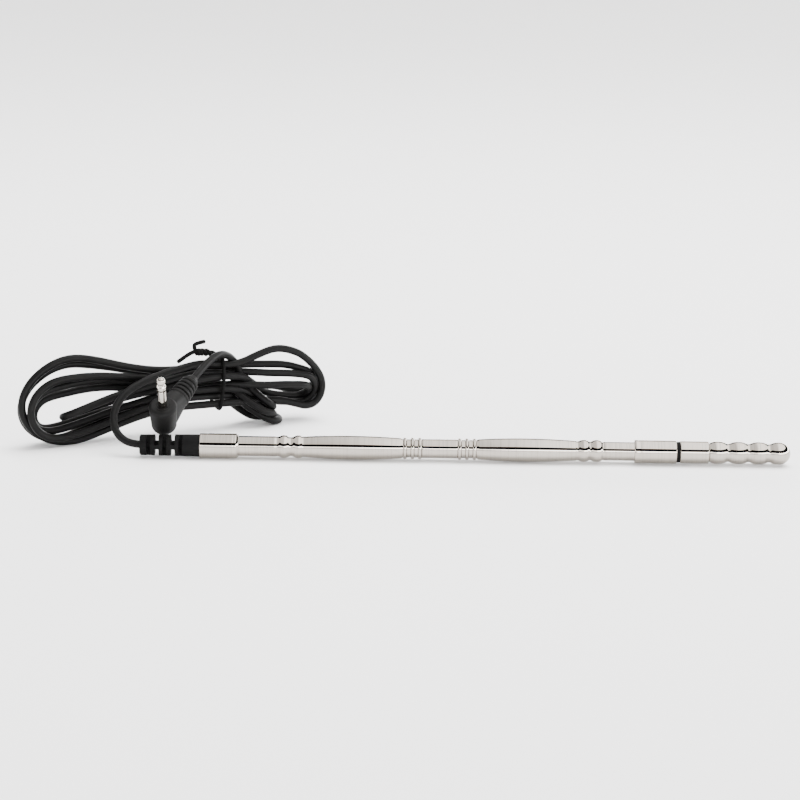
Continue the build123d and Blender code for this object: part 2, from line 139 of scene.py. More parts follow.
def loop_points(sizes, enter, leave, count, upwards=False):
    """Points once round a loop: out along one side, round half an ellipse as long as the round end and
    twice half the height high, and back. Both sides close to the waist's places near the tie."""
    reach, half, middle, end_height, depth, lean, shut, open_at, nose = sizes
    length = abs(reach)
    swing = np.linspace(math.pi / 2, -math.pi / 2, 91)
    runs = np.linspace(0.142 * length, length - nose, 20)[:-1]
    out = np.concatenate([runs, length - nose + nose * np.cos(swing), runs[::-1]])
    side = np.concatenate([np.ones(19), np.sin(swing), -np.ones(19)])
    steps = np.hypot(np.diff(out), np.diff(side * half))
    steps[19:-19] *= 2.2
    walked = np.concatenate([[0], np.cumsum(steps)])
    places = np.linspace(0, walked[-1], count)
    share = np.interp(places, walked, out) / length
    side = np.interp(places, walked, side) * (-1 if upwards else 1)
    opening = (share - shut) / (open_at - shut)
    opened = ease(opening) if open_at < 1 else np.clip(opening, 0, 1) ** 1.15
    centre = middle + (end_height - middle) * ease((share - 0.55) / 0.45)
    first_half = np.linspace(0, 1, count) < 0.5
    waist_depth = np.where(first_half, enter[0], leave[0])
    waist_height = np.where(first_half, enter[1], leave[1])
    tilt = math.radians(lean)
    height = waist_height * (1 - opened) + (centre + half * math.cos(tilt) * side) * opened
    across = waist_depth * (1 - opened) + (depth - half * math.sin(tilt) * side) * opened
    return hank_waist + np.outer(reach * share, hank_along) + np.outer(across, hank_across) + np.outer(
        height, (0, 0, 1))


def coil_points():
    """All loops in turn: right, left, right, left, and the last on the right comes back up."""
    rows = []
    last = len(right_loops) - 1
    for number, sizes in enumerate(right_loops[:-1]):
        rows.append(loop_points(sizes, upper_places[number], lower_places[number], 16))
        following = upper_places[number + 1] if number + 1 < last else lower_places[last]
        rows.append(loop_points(left_loops[number], lower_places[number], following, 20, upwards=True))
    closing = loop_points(right_loops[last], lower_places[last], upper_places[last], 16, upwards=True)
    rows.append(closing[:-1])
    return np.concatenate(rows)


wound = coil_points()
print("coil points", len(wound))

# %% [markdown]
# ## The lead and the tail
# Two stretches aren't wound. The lead comes straight out of the boot, turns up at once and climbs over
# the front of the hank to its waist. The tail leaves the hank in a small arch and goes down into the
# plug's ribbed relief. Their points are listed one by one, because that is how the cord happens to lie.

# %% Lead and tail
lead_points = [
    (-87.4, 0, 3.4), (-91.7, 0, 3.4), (-95.4, 1.5, 5.2), (-97.3, 3.9, 8.5), (-96.9, 7.4, 12.4),
    (-94.1, 11.5, 15.8), (-89.6, 16.0, 17.7), (-84.8, 20.4, 18.9), (-80.2, 24.4, 19.6),
    (-75.6, 28.6, 20.2), (-71.2, 32.0, 19.8),
]
tail_points = [
    (-64.2, 37.6, 16.8), (-66.4, 34.8, 20.8), (-69.0, 30.6, 22.9), (-71.7, 25.0, 22.4),
    (-75.3, 17.25, 19.25), (-77.94, 12.67, 16.39),
]
print("lead", len(lead_points), "tail", len(tail_points))

# %% [markdown]
# ## Strands that lie beside one another
# The formula lets neighbouring strands run through each other a little. Real strands can't, so they are
# pushed apart as soft wires would be: wherever two stretches are nearer than a diameter, both move away
# by part of the overlap, and the table pushes up whatever would sink into it. The curve used to measure
# is the same one that Blender draws, a quadratic B-spline that touches its first and last points.

# %% Push the strands apart
def spline_weights(count, steps):
    """How much each control point counts at each sample of a clamped quadratic B-spline: on a span, the
    three weights are (1-t) squared, the rest, and t squared, scaled by the knots, which repeat at the
    ends."""
    knots = np.concatenate([[0, 0], np.arange(0, count - 1), [count - 2, count - 2]]).astype(float)
    place = np.linspace(0, count - 2 - 1e-9, (count - 2) * steps + 1)
    span = np.minimum(place.astype(int), count - 3)
    first = span + 2
    late = (place - knots[first]) / (knots[first + 1] - knots[first])
    before = (knots[first + 1] - place) / (knots[first + 1] - knots[first - 1])
    after = (place - knots[first]) / (knots[first + 2] - knots[first])
    weights = np.zeros((len(place), count))
    rows = np.arange(len(place))
    weights[rows, span] = before * (1 - late)
    weights[rows, span + 1] = (1 - before) * (1 - late) + (1 - after) * late
    weights[rows, span + 2] = after * late
    return weights


def settle(points, first, last, rounds=150, steps=5):
    """Move the points from first to last so that samples of the curve keep almost a diameter apart: each
    near pair moves away along the line between them, and the moves are smoothed along the cord."""
    weights = spline_weights(len(points), steps)
    gap = CORD_DIAMETER * 0.98
    home = points.copy()
    order = np.arange(len(weights))
    neighbours = np.abs(order[:, None] - order[None]) < steps * 2 + 1
    free = np.zeros((len(points), 1))
    free[first:last] = 1
    free[[first - 1, last]] = 0.5
    for _ in range(rounds):
        samples = weights @ points
        apart = samples[:, None] - samples[None]
        distance = np.sqrt((apart ** 2).sum(2)) + 1e-9
        push = np.where((distance < gap) & ~neighbours, (gap - distance) / distance, 0)
        touching = np.maximum((push > 0).sum(1), 1)[:, None]
        move = 0.5 * (apart * push[:, :, None]).sum(1) / touching ** 0.5
        move[:, 2] += np.maximum(CORD_DIAMETER / 2 - samples[:, 2], 0)
        points = points + (weights.T @ move) / weights.sum(0)[:, None] * free * 1.2
        shift = points - home
        smooth = shift.copy()
        smooth[1:-1] = (shift[:-2] + 2 * shift[1:-1] + shift[2:]) / 4
        points = home + np.where(free > 0, smooth * 0.998, shift)
    return points


route = np.concatenate([np.array(lead_points, float), wound, np.array(tail_points, float)])
route = settle(route, len(lead_points), len(lead_points) + len(wound))
line = spline_weights(len(route), 10) @ route

# %% [markdown]
# ## The cord as one NURBS spline
# The settled points become the control points of a single open spline with a round bevel, so the cord
# has one thickness everywhere and never breaks.

# %% Cord
def in_scene(name, data):
    """Put a new object that holds the data into the scene, at the origin."""
    piece = bpy.data.objects.new(name, data)
    bpy.context.scene.collection.objects.link(piece)
    return piece


cord_curve = bpy.data.curves.new("signal_cord", "CURVE")
cord_curve.dimensions = "3D"
cord_curve.bevel_depth = CORD_DIAMETER / 2 * MM
cord_curve.bevel_resolution = 4
cord_curve.resolution_u = 5
spline = cord_curve.splines.new("NURBS")
spline.points.add(len(route) - 1)
spline.points.foreach_set("co", np.column_stack([route * MM, np.ones(len(route))]).ravel())
spline.order_u = 3
spline.use_endpoint_u = True
signal_cord = in_scene("signal_cord", cord_curve)
print("cord control points", len(spline.points))

# %% [markdown]
# ## Surfaces from a profile
# Almost every other piece was turned on a lathe or moulded round an axis. So one helper makes a surface
# from an outline of (along, radius) points: the outline is walked in small steps, and every step is
# swung round the axis. The outline is closed, so bores are real and no end is left open.

# %% Lathe helper
def rounded(steps, fineness):
    """Walk an outline and return its points: a pair is a straight line, four numbers are an arc through
    the first two to the last two. Long stretches are divided so that no step is over the fineness."""
    here = np.array(steps[0], float)
    out = [here]
    for step in steps[1:]:
        target = np.array(step[-2:], float)
        if len(step) == 2:
            pieces = max(1, int(np.linalg.norm(target - here) / fineness))
            out += [here + (target - here) * k / pieces for k in range(1, pieces + 1)]
        else:
            out += list(arc(here, np.array(step[:2], float), target, fineness))
        here = target
    return np.array(out)


def arc(start, middle, end, fineness):
    """Points of the circle through three points: the centre is where the two chords' bisectors meet, and
    the angle runs evenly from start to end by way of middle."""
    sides = np.array([middle - start, end - middle])
    centre = np.linalg.solve(sides, (sides * np.array([(start + middle) / 2, (middle + end) / 2])).sum(1))
    angles = [math.atan2(*(p - centre)[::-1]) for p in (start, middle, end)]
    turn = (angles[2] - angles[0]) % (2 * math.pi)
    if (angles[1] - angles[0]) % (2 * math.pi) > turn:
        turn -= 2 * math.pi
    radius = np.linalg.norm(start - centre)
    pieces = max(4, int(abs(turn) * radius / fineness))
    swept = angles[0] + turn * np.arange(1, pieces + 1) / pieces
    points = centre + radius * np.column_stack([np.cos(swept), np.sin(swept)])
    points[-1] = end
    return points


def grid_mesh(name, points, along_closed=True):
    """A mesh from a grid of points, rows along and columns all round, joined to quads by numpy indices."""
    rows, columns = points.shape[:2]
    index = np.arange(rows * columns).reshape(rows, columns)
    lower = index if along_closed else index[:-1]
    upper = np.roll(index, -1, axis=0) if along_closed else index[1:]
    faces = np.stack([lower, np.roll(lower, -1, 1), np.roll(upper, -1, 1), upper], -1)
    mesh = bpy.data.meshes.new(name)
    mesh.from_pydata(points.reshape(-1, 3).tolist(), [], faces.reshape(-1, 4).tolist())
    mesh.validate()
    tidy_mesh(mesh)
    mesh.polygons.foreach_set("use_smooth", [True] * len(mesh.polygons))
    return mesh


def tidy_mesh(mesh):
    """Merge points that fall together, drop faces without area and turn every face outwards."""
    work = bmesh.new()
    work.from_mesh(mesh)
    bmesh.ops.remove_doubles(work, verts=work.verts, dist=1e-7)
    bmesh.ops.dissolve_degenerate(work, edges=work.edges, dist=1e-8)
    bmesh.ops.recalc_face_normals(work, faces=work.faces)
    work.to_mesh(mesh)
    work.free()


class Axis:
    """A place and three directions: along the axis, and two across it."""

    def __init__(self, origin, along, across):
        self.origin = np.array(origin, float)
        self.along = np.array(along, float)
        self.across = np.array(across, float)
        self.third = np.cross(self.along, self.across)

    def place(self, along, sideways, upwards):
        """Points at those distances along the axis and across it, as whole arrays, in metres."""
        parts = sideways[..., None] * self.across + upwards[..., None] * self.third
        return (self.origin + along[..., None] * self.along + parts) * MM


def turned(name, axis, steps, around=96, fineness=0.25, sharp=32):
    """A surface of revolution: each outline point (along, radius) goes round the axis as radius times the
    cosine and the sine of an even angle. Corners sharper than the given angle stay crisp."""
    outline = rounded(steps + [steps[0]], fineness)[:-1]
    angle = np.linspace(0, 2 * math.pi, around, endpoint=False)
    along = np.repeat(outline[:, :1], around, axis=1)
    points = axis.place(along, outline[:, 1:] * np.cos(angle), outline[:, 1:] * np.sin(angle))
    mesh = grid_mesh(name, points)
    mesh.set_sharp_from_angle(angle=math.radians(sharp))
    piece = in_scene(name, mesh)
    print(name, len(mesh.polygons), "faces")
    return piece


AXIS_HEIGHT = 3.4
wand = Axis((0, 0, AXIS_HEIGHT), (1, 0, 0), (0, 1, 0))

# %% [markdown]
# ## The plated metal of the wand
# Four pieces of turned metal show: a plain ferrule over the boot, the long grip body with its beads,
# rings and two gentle swells, a second ferrule, and the beaded tip beyond the insulating ring. Every
# edge is broken by a small radius, because a polishing wheel never leaves a truly sharp one, and those
# rounded edges are what catch the light.

# %% Places along the wand
rear_end = -89.4
front_end = 89.4
boot_front = rear_end + 16.5
grip_rear = boot_front + 10.6
tip_rear = front_end - 30.4
insulator_rear = tip_rear - 1.0
grip_front = insulator_rear - 11.0
first_beads = grip_rear + 12.5
first_swell = grip_rear + 18.0
first_rings = grip_rear + 47.8
second_rings = first_rings + 15.0
second_swell = second_rings + 3.2
second_beads = grip_front - 14.4
print("grip from", grip_rear, "to", grip_front)

# %% Ferrules
REAR_RADIUS = 3.4
FRONT_RADIUS = 3.2
SPIGOT_BORE = 2.32
BOOT_BORE = 2.57
SHANK_BORE = 2.02
SHANK = 4.4
rear_ferrule = turned("rear_ferrule_metal", wand, [
    (boot_front, BOOT_BORE), (boot_front, 3.28), (boot_front + 0.04, 3.36, boot_front + 0.12, REAR_RADIUS),
    (boot_front + 0.5, REAR_RADIUS), (boot_front + 0.58, 3.385), (boot_front + 0.66, REAR_RADIUS),
    (boot_front + 1.0, REAR_RADIUS), (boot_front + 1.08, 3.388), (boot_front + 1.16, REAR_RADIUS),
    (grip_rear - 1.36, REAR_RADIUS), (grip_rear - 1.28, 3.388), (grip_rear - 1.2, REAR_RADIUS),
    (grip_rear - 0.66, REAR_RADIUS), (grip_rear - 0.56, 3.37, grip_rear - 0.46, 3.3),
    (grip_rear - 0.06, 3.06), (grip_rear, 2.98), (grip_rear, SPIGOT_BORE),
    (boot_front + 4.94, SPIGOT_BORE), (boot_front + 4.94, BOOT_BORE),
], fineness=0.5)
front_ferrule = turned("front_ferrule_metal", wand, [
    (grip_front - 0.6, 2.6), (grip_front - 0.6, 2.82), (grip_front - 0.5, 3.1, grip_front - 0.2, 3.22),
    (grip_front, 3.24), (grip_front + 0.2, 3.23, grip_front + 0.4, FRONT_RADIUS),
    (grip_front + 0.9, FRONT_RADIUS), (grip_front + 0.98, 3.188), (grip_front + 1.06, FRONT_RADIUS),
    (insulator_rear - 0.2, FRONT_RADIUS),
    (insulator_rear - 0.05, 3.15, insulator_rear, 3.02), (insulator_rear, SHANK_BORE),
    (insulator_rear - SHANK, SHANK_BORE), (insulator_rear - SHANK, SPIGOT_BORE),
    (grip_front, SPIGOT_BORE), (grip_front, 2.6),
], fineness=0.5)

# %% [markdown]
# ## The grip body
# Its outline is put together from the same few shapes over and over: a half-round bead, a group of three
# fine rings, and a long shallow swell drawn as one arc. Functions give those shapes and the body is
# their sum.

# %% Grip body
def bead(centre, width, root, crown):
    """A half-round ring: an arc from the root radius over the crown and down again."""
    return [(centre - width / 2, root), (centre, crown, centre + width / 2, root)]


def three_rings(centre):
    """Three fine rings side by side with narrow flat grooves between them."""
    steps = []
    for number in (-1, 0, 1):
        steps += bead(centre + number * 2.04, 1.1, 2.54, 3.04)
    return steps


SPIGOT = 2.3
WIRE_BORE = 1.6
NECK = 2.82
GROOVE = 2.54
SWELL_LENGTH = 26.7
grip_steps = [
    (grip_rear - 4.0, WIRE_BORE), (grip_rear - 4.0, SPIGOT), (grip_rear, SPIGOT), (grip_rear, 2.78),
    (first_beads - 2.4, 2.78), (first_beads - 1.7, 2.68, first_beads - 1.2, NECK),
]
grip_steps += bead(first_beads, 2.4, NECK, 3.15)[1:]
grip_steps += [(first_beads + 1.95, 2.58, first_beads + 2.75, NECK)]
grip_steps += bead(first_beads + 3.95, 2.4, NECK, 3.15)[1:]
grip_steps += [
    (first_swell, NECK), (first_swell + 13.4, 3.3, first_swell + SWELL_LENGTH, NECK),
    (first_rings - 2.6, GROOVE),
]
grip_steps += three_rings(first_rings)
grip_steps += [(first_rings + 2.7, 2.64), (second_rings - 2.7, 2.64), (second_rings - 2.6, GROOVE)]
grip_steps += three_rings(second_rings)
grip_steps += [
    (second_rings + 2.6, GROOVE), (second_swell, NECK),
    (second_swell + 13.4, 3.26, second_swell + SWELL_LENGTH, 2.76),
    (second_beads - 1.7, 2.62, second_beads - 1.2, NECK),
]
grip_steps += bead(second_beads, 2.4, NECK, 3.09)[1:]
grip_steps += [(second_beads + 1.75, 2.56, second_beads + 2.3, 2.8)]
grip_steps += bead(second_beads + 3.55, 2.5, 2.8, 3.09)[1:]
grip_steps += [
    (second_beads + 5.1, 2.55, second_beads + 5.6, 2.58), (grip_front, 2.58), (grip_front, SPIGOT),
    (grip_front + 4.0, SPIGOT), (grip_front + 4.0, WIRE_BORE),
]
grip_body = turned("grip_body_metal", wand, grip_steps, fineness=0.3, sharp=50)

# %% [markdown]
# ## The beaded tip
# The tip is one solid piece: a plain collar, a groove, and four soft beads of which the last is a full
# half-ball. Here neighbouring curves run into each other without any edge.

# %% Front electrode
BEAD_RADIUS = 3.1
BEAD_PITCH = 5.6
last_bead = front_end - BEAD_RADIUS
groove = tip_rear + 8.05
crowns = [last_bead - number * BEAD_PITCH for number in (3, 2, 1, 0)]
tip_steps = [
    (tip_rear, 1.02), (tip_rear, 2.92), (tip_rear + 0.05, 3.04, tip_rear + 0.18, 3.09),
    (groove - 0.45, 3.09), (groove - 0.3, 3.05), (groove - 0.05, 2.66), (groove, 2.6, groove + 0.1, 2.62),
    (groove + 0.3, 2.72), (crowns[0] - 1.5, 2.98, crowns[0], BEAD_RADIUS),
]
for here, ahead in zip(crowns[:-1], crowns[1:]):
    neck = (here + ahead) / 2
    tip_steps += [
        (here + 1.35, 2.97, neck - 0.55, 2.64), (neck, 2.5, neck + 0.55, 2.64),
        (ahead - 1.35, 2.97, ahead, BEAD_RADIUS),
    ]
dome = BEAD_RADIUS * math.sin(math.radians(45))
tip_steps += [(last_bead + dome, dome, front_end, 0.0), (tip_rear + 5.6, 0.0), (tip_rear + 5.6, 1.02)]
front_electrode = turned("front_electrode_metal", wand, tip_steps, fineness=0.2, sharp=50)
insulator = turned("insulator_ring", wand, [
    (insulator_rear - SHANK, 1.02), (insulator_rear - SHANK, 2.0), (insulator_rear, 2.0),
    (insulator_rear, 2.78),
    (insulator_rear + 0.08, 2.86), (tip_rear - 0.08, 2.86), (tip_rear, 2.78), (tip_rear, 1.02),
], fineness=0.4)

# %% [markdown]
# ## The rubber boot
# The boot stops the cord from kinking where it leaves the metal. It is a short rubber tube cut by pairs
# of slots, turned a quarter from one pair to the next, so that it bends like a chain. In each slot a
# thin web is left beside the cord. As a surface it is still a tube: only its radius changes, and inside
# a slot the radius is that of a flat strip, half the web over the cosine of the angle.

# %% Boot
BOOT_WEB = 0.6
SLOT_HALF = 0.5
SLOT_PITCH = 4.4
CORD_SKIN = 1.15


def boot_radius(x, angle):
    """Outer radius of the boot: a slight cone, cut down to a flat strip wherever a slot crosses it."""
    cone = 2.85 + 0.2 * (x - rear_end) / 16.5
    edge = cone - 0.22 * (1 - ease((x - rear_end) / 0.25)) - 0.06 * ease((x - boot_front + 0.12) / 0.12)
    radius = edge
    for number in range(5):
        middle = rear_end + 2.5 + number * SLOT_PITCH / 2
        inside = ease((SLOT_HALF + 0.07 - np.abs(x - middle)) / 0.14)
        across = np.abs(np.cos(angle)) if number % 2 == 0 else np.abs(np.sin(angle))
        strip = np.clip(BOOT_WEB / np.maximum(across, 1e-3), CORD_SKIN, None)
        radius = radius - inside * np.maximum(radius - strip, 0)
    return radius


def boot_mesh(name, around=128):
    """The boot's outer wall from rear to front, its spigot, and its bore back to the rear."""
    length = np.unique(np.concatenate([
        np.linspace(rear_end, boot_front, 60), rear_end + np.linspace(0, 0.3, 6),
        boot_front - np.linspace(0, 0.15, 4),
    ] + [
        rear_end + 2.5 + number * SLOT_PITCH / 2 + side * (SLOT_HALF + np.linspace(-0.08, 0.08, 7))
        for number in range(5) for side in (-1, 1)
    ]))
    angle = np.linspace(0, 2 * math.pi, around, endpoint=False)
    x, turn = np.meshgrid(length, angle, indexing="ij")
    outer = boot_radius(x, turn)
    back = [(boot_front, 2.55), (boot_front + 4.4, 2.55), (boot_front + 4.4, 1.125), (rear_end, 1.125)]
    x = np.vstack([x] + [np.full((1, around), place) for place, _ in back])
    radius = np.vstack([outer] + [np.full((1, around), size) for _, size in back])
    turn = np.broadcast_to(angle, x.shape)
    points = wand.place(x, radius * np.cos(turn), radius * np.sin(turn))
    mesh = grid_mesh(name, points)
    mesh.set_sharp_from_angle(angle=math.radians(35))
    return in_scene(name, mesh)


boot = boot_mesh("boot_rubber_body")
print("boot", len(boot.data.polygons), "faces")

# %% [markdown]
# ## The plug
# The plug is moulded in one go round its contacts: a round barrel that the jack stands on, and from its
# side a relief that carries the cord away at a right angle, with ribs so that it bends. The shapes are
# turned one by one, then melted into a single skin on a fine grid of cubes, and that skin is smoothed a
# little, which gives the soft inner corners of a moulding.

# %% The plug's directions
plug_tilt = math.radians(58.0)
plug_turn = math.radians(64.0)
plug_face = np.array([-83.2, 1.2, 14.4])
jack_along = np.array([0, -math.cos(plug_tilt), math.sin(plug_tilt)])
plug_back = np.array([0, math.sin(plug_tilt), math.cos(plug_tilt)])
relief_along = np.array([math.cos(plug_turn), 0, 0]) + plug_back * math.sin(plug_turn)
jack_axis = Axis(plug_face, jack_along, relief_along)
relief_axis = Axis(plug_face - jack_along * 4.4, relief_along, jack_along)
print("relief runs", np.round(relief_along, 3))

# %% Plug body
PLUG_HEIGHT = 9.4
RELIEF_REACH = 16.6
ROOT_WIDTH = 3.3
ROOT_HEIGHT = 4.5
ROOT_END = 3.05
ROOT_ROWS = 24
ROOT_COLUMNS = 72
FIRST_RIB = 7.8
RIBS = 5
RIB_PITCH = 1.45
RIB_WIDTH = 0.95
RIB_RADIUS = 3.2


def flared_root(name):
    """The root of the relief: an oval whose half width and half height both shrink in a straight line to
    the round relief's radius over the stretch up to the first rib, a little squared at the barrel."""
    reach = np.linspace(0, FIRST_RIB - 0.1, ROOT_ROWS)[:, None]
    angle = np.linspace(0, 2 * math.pi, ROOT_COLUMNS, endpoint=False)[None]
    share = np.clip((reach - 2.5) / (FIRST_RIB - 2.6), 0, 1)
    wide = ROOT_WIDTH * (1 - share) + ROOT_END * share
    high = ROOT_HEIGHT * (1 - share) + ROOT_END * share
    squareness = 1 + 0.10 * (1 - share) * np.sin(2 * angle) ** 2
    along = np.broadcast_to(reach, (ROOT_ROWS, ROOT_COLUMNS))
    points = relief_axis.place(along, high * np.sin(angle) * squareness, wide * np.cos(angle) * squareness)
    start = np.broadcast_to(relief_axis.origin * MM, points[:1].shape)
    far = relief_axis.origin + relief_axis.along * (FIRST_RIB - 0.1)
    end = np.broadcast_to(far * MM, points[:1].shape)
    return in_scene(name, grid_mesh(name, np.concatenate([start, points, end]), along_closed=False))


def melted(name, shells, cube, rounds):
    """Join closed shells, remake them as one skin on a grid of cubes, and smooth that skin."""
    work = bmesh.new()
    for shell in shells:
        work.from_mesh(shell.data)
        bpy.data.objects.remove(shell)
    mesh = bpy.data.meshes.new(name)
    work.to_mesh(mesh)
    work.free()
    piece = in_scene(name, mesh)
    remesh = piece.modifiers.new("melt", "REMESH")
    remesh.mode = "VOXEL"
    remesh.voxel_size = cube * MM
    soften = piece.modifiers.new("soften", "SMOOTH")
    soften.factor = 0.5
    soften.iterations = rounds
    evaluated = piece.evaluated_get(bpy.context.evaluated_depsgraph_get())
    solid = bpy.data.meshes.new_from_object(evaluated)
    piece.modifiers.clear()
    piece.data = solid
    solid.polygons.foreach_set("use_smooth", [True] * len(solid.polygons))
    return piece


barrel = turned("barrel", jack_axis, [
    (-PLUG_HEIGHT, 0), (-PLUG_HEIGHT, 1.5), (-PLUG_HEIGHT + 0.6, 2.9, -PLUG_HEIGHT + 2.0, 3.5),
    (-1.3, 3.88), (-0.5, 3.74, -0.15, 3.4), (0.0, 3.1), (0.0, 1.9), (-0.25, 1.75), (-0.25, 0),
], fineness=0.3)
relief = turned("relief", relief_axis, [
    (4.0, 0), (4.0, 2.6), (FIRST_RIB + RIBS * RIB_PITCH, 2.2), (RELIEF_REACH - 0.3, 1.6),
    (RELIEF_REACH, 1.45), (RELIEF_REACH, 0),
])
ribs = []
for number in range(RIBS):
    reach = FIRST_RIB + number * RIB_PITCH
    radius = RIB_RADIUS - number * 0.15
    ribs.append(turned(f"rib_{number}", relief_axis, [
        (reach, 0), (reach, radius - 0.2), (reach + 0.06, radius - 0.06, reach + 0.2, radius),
        (reach + RIB_WIDTH - 0.2, radius),
        (reach + RIB_WIDTH - 0.06, radius - 0.06, reach + RIB_WIDTH, radius - 0.2), (reach + RIB_WIDTH, 0),
    ], around=72))
plug_body = melted("plug_moulding", [barrel, relief, flared_root("root"), *ribs], 0.12, 2)
print("plug", len(plug_body.data.polygons), "faces")

# %% [markdown]
# ## The jack
# A slim mono jack: a plain sleeve, one black insulating ring, and a tip that narrows to a waist and ends
# in a ball. The waist is what a socket's spring clicks into.

# %% Jack
SLEEVE = 5.8
JACK = 10.2
BALL = 1.2
WAIST = 0.85
ball_height = JACK - BALL
waist_top = ball_height - math.sqrt(BALL ** 2 - WAIST ** 2)
ball_side = BALL * math.sin(math.radians(45))
jack_sleeve = turned("jack_sleeve", jack_axis, [
    (-4.2, 0.75), (-4.2, 0.95), (-1.8, 0.95), (-1.8, 1.9), (-1.0, 1.9), (-1.0, 1.05), (0.08, 1.05),
    (0.12, 1.2), (0.2, 1.25), (SLEEVE - 0.06, 1.25), (SLEEVE, 1.19), (SLEEVE, 0.75),
], around=64, fineness=0.4)
jack_ring = turned("jack_insulator", jack_axis, [
    (-4.5, 0.42), (-4.5, 0.73), (SLEEVE, 0.73), (SLEEVE, 0.98), (SLEEVE + 0.5, 0.98), (SLEEVE + 0.5, 0.42),
], around=64, fineness=0.4)
tip_base = SLEEVE + 0.5
jack_tip = turned("jack_tip", jack_axis, [
    (-5.3, 0), (-5.3, 0.4), (tip_base, 0.4), (tip_base, 1.19), (tip_base + 0.06, 1.25),
    (tip_base + 0.8, 1.25), (tip_base + 0.92, 1.21), (tip_base + 1.35, WAIST), (waist_top, WAIST),
    (ball_height, BALL, ball_height + ball_side, ball_side),
    (ball_height + BALL * math.sin(math.radians(67.5)), BALL * math.cos(math.radians(67.5)), JACK, 0.0),
], around=64, fineness=0.12, sharp=40)

# %% [markdown]
# ## The twist tie
# A thin wire in black plastic goes once round the hank's waist and its ends are twisted together. A wire
# pulled tight round a bundle lies on the bundle's outline, and that outline comes straight from the
# cord: in every direction, the furthest strand plus the two radii. The ends are two wires that wind
# round each other and then part.

# %% Tie helpers
TIE_RADIUS = 0.52


def tube_along(name, path, radius, closed=False, around=14):
    """A round tube along a path: at each point a circle across the path's direction, its frame carried
    on from the last point so that it never spins. Open ends close in a small dome."""
    ahead = np.roll(path, -1, 0) - np.roll(path, 1, 0) if closed else np.gradient(path, axis=0)
    ahead /= np.linalg.norm(ahead, axis=1)[:, None]
    side = np.empty_like(path)
    side[0] = np.cross(ahead[0], [0.31, 0.17, 0.93])
    for number in range(1, len(path)):
        side[number] = side[number - 1] - ahead[number] * (side[number - 1] @ ahead[number])
        side[number] /= np.linalg.norm(side[number])
    side[0] /= np.linalg.norm(side[0])
    other = np.cross(ahead, side)
    size = np.full(len(path), radius)
    if not closed:
        fall = np.sqrt(1 - np.linspace(0, 1, 5) ** 2) * radius
        lift = np.linspace(0, 1, 5)[:, None] * radius
        path = np.vstack([path[0] - ahead[0] * lift[::-1], path[1:-1], path[-1] + ahead[-1] * lift])
        side = np.vstack([side[:1].repeat(5, 0), side[1:-1], side[-1:].repeat(5, 0)])
        other = np.vstack([other[:1].repeat(5, 0), other[1:-1], other[-1:].repeat(5, 0)])
        size = np.concatenate([fall[::-1], size[1:-1], fall])
    angle = np.linspace(0, 2 * math.pi, around, endpoint=False)[None, :, None]
    ring = np.cos(angle) * side[:, None] + np.sin(angle) * other[:, None]
    points = (path[:, None] + ring * size[:, None, None]) * MM
    return in_scene(name, grid_mesh(name, points, along_closed=closed))


def smooth_path(points, steps=14):
    """The clamped quadratic curve of a few given points."""
    points = np.array(points, float)
    return spline_weights(len(points), steps) @ points


def waist_band(at, angles=90):
    """The line of a tight wire round the bundle at that place along the hank: in each direction the
    furthest strand's reach plus both radii, h, gives the point h times the direction plus the change of
    h with the angle times the direction turned by a right angle."""
    wound_samples = line[: (len(lead_points) + len(wound)) * 10 - 30]
    local = wound_samples - hank_waist
    here = np.abs(local @ hank_along - at) < 1.0
    flat = np.column_stack([local[here] @ hank_across, local[here][:, 2]])
    middle = (flat.max(0) + flat.min(0)) / 2
    angle = np.linspace(0, 2 * math.pi, angles, endpoint=False)
    towards = np.column_stack([np.cos(angle), np.sin(angle)])
    reach = ((flat - middle) @ towards.T).max(0) + CORD_DIAMETER / 2 + TIE_RADIUS * 0.8
    for _ in range(3):
        reach = (np.roll(reach, 1) + 2 * reach + np.roll(reach, -1)) / 4
    change = (np.roll(reach, -1) - np.roll(reach, 1)) / (2 * (angle[1] - angle[0]))
    turned_by_right = np.column_stack([-towards[:, 1], towards[:, 0]])
    band = middle + towards * reach[:, None] + turned_by_right * change[:, None]
    lean = (band[:, 1] - middle[1]) * 0.05
    path = hank_waist + np.outer(at + lean, hank_along) + np.outer(band[:, 0], hank_across) + np.outer(
        band[:, 1], (0, 0, 1))
    return path


def wound_round(path, radius, turns, start):
    """A path that winds round another: it stands off by the radius, in a direction that turns evenly."""
    ahead = np.gradient(path, axis=0)
    ahead /= np.linalg.norm(ahead, axis=1)[:, None]
    side = np.cross(ahead, [0.2, 0.9, 0.1])
    side /= np.linalg.norm(side, axis=1)[:, None]
    angle = (start + turns * np.linspace(0, 2 * math.pi, len(path)))[:, None]
    return path + radius * (np.cos(angle) * side + np.sin(angle) * np.cross(ahead, side))


# %% Twist tie
band = waist_band(-1.0)
tie_pieces = [tube_along("tie_band", band, TIE_RADIUS, closed=True)]
band_top = band[np.argmax(band[:, 2] - 0.35 * (band - hank_waist) @ hank_across)]
knot = np.array([-76.0, 28.6, 23.4])
twisted = smooth_path([band_top, (band_top + knot) / 2 + (0, 0, 1.0), knot + (0.6, 0.3, 0.1), knot], 20)
ends = [
    [(-77.2, 28.2, 23.5), (-78.6, 27.6, 22.8), (-80.9, 26.6, 21.2)],
    [(-76.8, 28.9, 24.8), (-76.5, 29.1, 25.9), (-74.0, 29.4, 26.4)],
]
for number, end in enumerate(ends):
    strand = wound_round(twisted, TIE_RADIUS * 1.05, 2.6, number * math.pi)
    path = np.vstack([strand[:-3], smooth_path([strand[-3], *end], 10)])
    tie_pieces.append(tube_along(f"tie_end_{number}", path, TIE_RADIUS * 1.12))
print("band", round(float(np.linalg.norm(np.diff(band, axis=0), axis=1).sum()), 1), "mm round")

